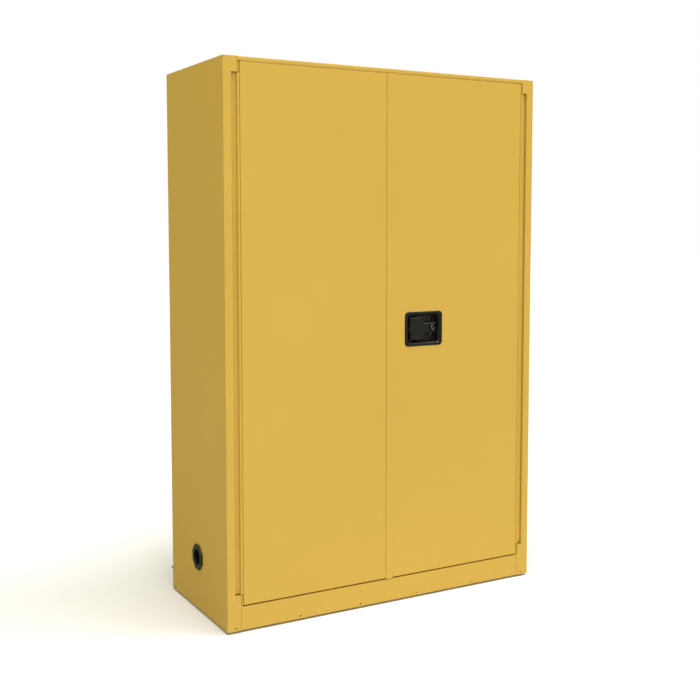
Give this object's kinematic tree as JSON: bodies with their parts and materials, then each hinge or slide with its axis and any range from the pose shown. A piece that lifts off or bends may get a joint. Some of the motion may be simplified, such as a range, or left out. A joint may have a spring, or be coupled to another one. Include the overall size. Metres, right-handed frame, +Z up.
{
  "type": "flammable storage cabinet",
  "caption": "Free-standing double-walled steel cabinet for flammable liquids, with two hinged doors, a paddle latch, spill-tray shelves and a leak-proof sill.",
  "frame": {"origin": "on the floor, under the centre of the overall box", "axes": "+X to the right as seen from the front, +Y to the back, +Z up; the doors face -Y"},
  "size_m": [1.102, 0.4736, 1.651],
  "materials": {
    "powder_coat": "satin powder coat",
    "inner_powder_coat": "satin powder coat",
    "galvanised_steel": "galvanised",
    "plated_steel": "zinc plated",
    "black_plastic": "fine-grained moulding",
    "black_plated_steel": "black plated",
    "brass": "machined"
  },
  "bodies": {
    "cabinet": {"left_side_panel": "powder_coat", "right_side_panel": "powder_coat", "top_panel": "powder_coat", "back_panel": "powder_coat", "base_panel": "powder_coat", "sill_panel": "powder_coat", "left_jamb": "powder_coat", "right_jamb": "powder_coat", "left_liner": "inner_powder_coat", "right_liner": "inner_powder_coat", "top_liner": "inner_powder_coat", "back_liner": "inner_powder_coat", "sump_tray": "inner_powder_coat", "left_front_standard": "galvanised_steel", "right_front_standard": "galvanised_steel", "left_back_standard": "galvanised_steel", "right_back_standard": "galvanised_steel", "left_lower_shelf_rail": "galvanised_steel", "right_lower_shelf_rail": "galvanised_steel", "left_upper_shelf_rail": "galvanised_steel", "right_upper_shelf_rail": "galvanised_steel", "upper_strike": "plated_steel", "lower_strike": "plated_steel", "ground_stud": "brass", "left_vent_sleeve": "powder_coat", "right_vent_sleeve": "powder_coat", "left_flame_screen": "plated_steel", "right_flame_screen": "plated_steel", "left_hinge_frame_leaf": "powder_coat", "right_hinge_frame_leaf": "powder_coat", "left_hinge_pin": "plated_steel", "right_hinge_pin": "plated_steel"},
    "left_door": {"left_door_skin": "powder_coat", "left_door_pan": "inner_powder_coat", "left_hinge_door_leaf": "powder_coat", "centre_strike": "plated_steel"},
    "right_door": {"right_door_skin": "powder_coat", "right_door_pan": "inner_powder_coat", "right_hinge_door_leaf": "powder_coat", "astragal": "powder_coat", "latch_tray": "black_plastic", "paddle_pin": "plated_steel", "paddle_spring": "plated_steel", "upper_rod_guide": "plated_steel", "lower_rod_guide": "plated_steel"},
    "paddle": {"paddle": "black_plastic", "lock_cylinder": "black_plated_steel"},
    "lock_plug": {"lock_plug": "black_plated_steel"},
    "latch_hub": {"latch_hub": "plated_steel"},
    "upper_rod": {"upper_rod": "plated_steel"},
    "lower_rod": {"lower_rod": "plated_steel"},
    "centre_bolt": {"centre_bolt": "plated_steel"},
    "left_vent_cap": {"left_vent_cap": "black_plastic"},
    "right_vent_cap": {"right_vent_cap": "black_plastic"},
    "lower_shelf": {"lower_shelf": "galvanised_steel"},
    "upper_shelf": {"upper_shelf": "galvanised_steel"},
    "front_left_foot": {"front_left_foot": "plated_steel"},
    "front_right_foot": {"front_right_foot": "plated_steel"},
    "back_left_foot": {"back_left_foot": "plated_steel"},
    "back_right_foot": {"back_right_foot": "plated_steel"}
  },
  "joints": [
    {"name": "left_door_hinge", "type": "hinge", "parent": "cabinet", "child": "left_door", "pos_m": [-0.4998, -0.23125, 0.86], "axis": [0, 0, -1], "range_deg": [0, 110]},
    {"name": "right_door_hinge", "type": "hinge", "parent": "cabinet", "child": "right_door", "pos_m": [0.4998, -0.23125, 0.86], "axis": [0, 0, 1], "range_deg": [0, 110]},
    {"name": "paddle_pull", "type": "hinge", "parent": "right_door", "child": "paddle", "pos_m": [0.076, -0.22625, 0.8585], "axis": [0, 0, -1], "range_deg": [0, 32], "stiffness_Nm_per_rad": 1.2, "springref_deg": -20.05},
    {"name": "latch_hub_turn", "type": "hinge", "parent": "right_door", "child": "latch_hub", "pos_m": [0.095, -0.20755, 0.866], "axis": [0, -1, 0], "range_deg": [0, 42.1]},
    {"name": "upper_rod_slide", "type": "slide", "parent": "right_door", "child": "upper_rod", "axis": [0, 0, -1], "range_m": [0, 0.0141]},
    {"name": "lower_rod_slide", "type": "slide", "parent": "right_door", "child": "lower_rod", "axis": [0, 0, 1], "range_m": [0, 0.0141]},
    {"name": "centre_bolt_slide", "type": "slide", "parent": "right_door", "child": "centre_bolt", "axis": [1, 0, 0], "range_m": [0, 0.0141]},
    {"name": "lock_plug_turn", "type": "hinge", "parent": "paddle", "child": "lock_plug", "pos_m": [0.1575, -0.22525, 0.8595], "axis": [0, -1, 0], "range_deg": [0, 90]},
    {"name": "left_vent_cap_out", "type": "slide", "parent": "cabinet", "child": "left_vent_cap", "axis": [-1, 0, 0], "range_m": [0, 0.03]},
    {"name": "right_vent_cap_out", "type": "slide", "parent": "cabinet", "child": "right_vent_cap", "axis": [1, 0, 0], "range_m": [0, 0.03]},
    {"name": "lower_shelf_lift", "type": "slide", "parent": "cabinet", "child": "lower_shelf", "axis": [0, 0, 1], "range_m": [0, 0.05]},
    {"name": "upper_shelf_lift", "type": "slide", "parent": "cabinet", "child": "upper_shelf", "axis": [0, 0, 1], "range_m": [0, 0.05]},
    {"name": "front_left_foot_turn", "type": "hinge", "parent": "cabinet", "child": "front_left_foot", "pos_m": [-0.49, -0.17225, 0.01], "axis": [0, 0, 1], "continuous": true},
    {"name": "front_right_foot_turn", "type": "hinge", "parent": "cabinet", "child": "front_right_foot", "pos_m": [0.49, -0.17225, 0.01], "axis": [0, 0, 1], "continuous": true},
    {"name": "back_left_foot_turn", "type": "hinge", "parent": "cabinet", "child": "back_left_foot", "pos_m": [-0.49, 0.16075, 0.01], "axis": [0, 0, 1], "continuous": true},
    {"name": "back_right_foot_turn", "type": "hinge", "parent": "cabinet", "child": "back_right_foot", "pos_m": [0.49, 0.16075, 0.01], "axis": [0, 0, 1], "continuous": true}
  ],
  "couplings": [
    {"joint": "latch_hub_turn", "follows": "paddle_pull", "ratio": 1.3125},
    {"joint": "upper_rod_slide", "follows": "paddle_pull", "m_per_rad": 0.025067},
    {"joint": "lower_rod_slide", "follows": "paddle_pull", "m_per_rad": 0.025067},
    {"joint": "centre_bolt_slide", "follows": "paddle_pull", "m_per_rad": 0.025067}
  ]
}
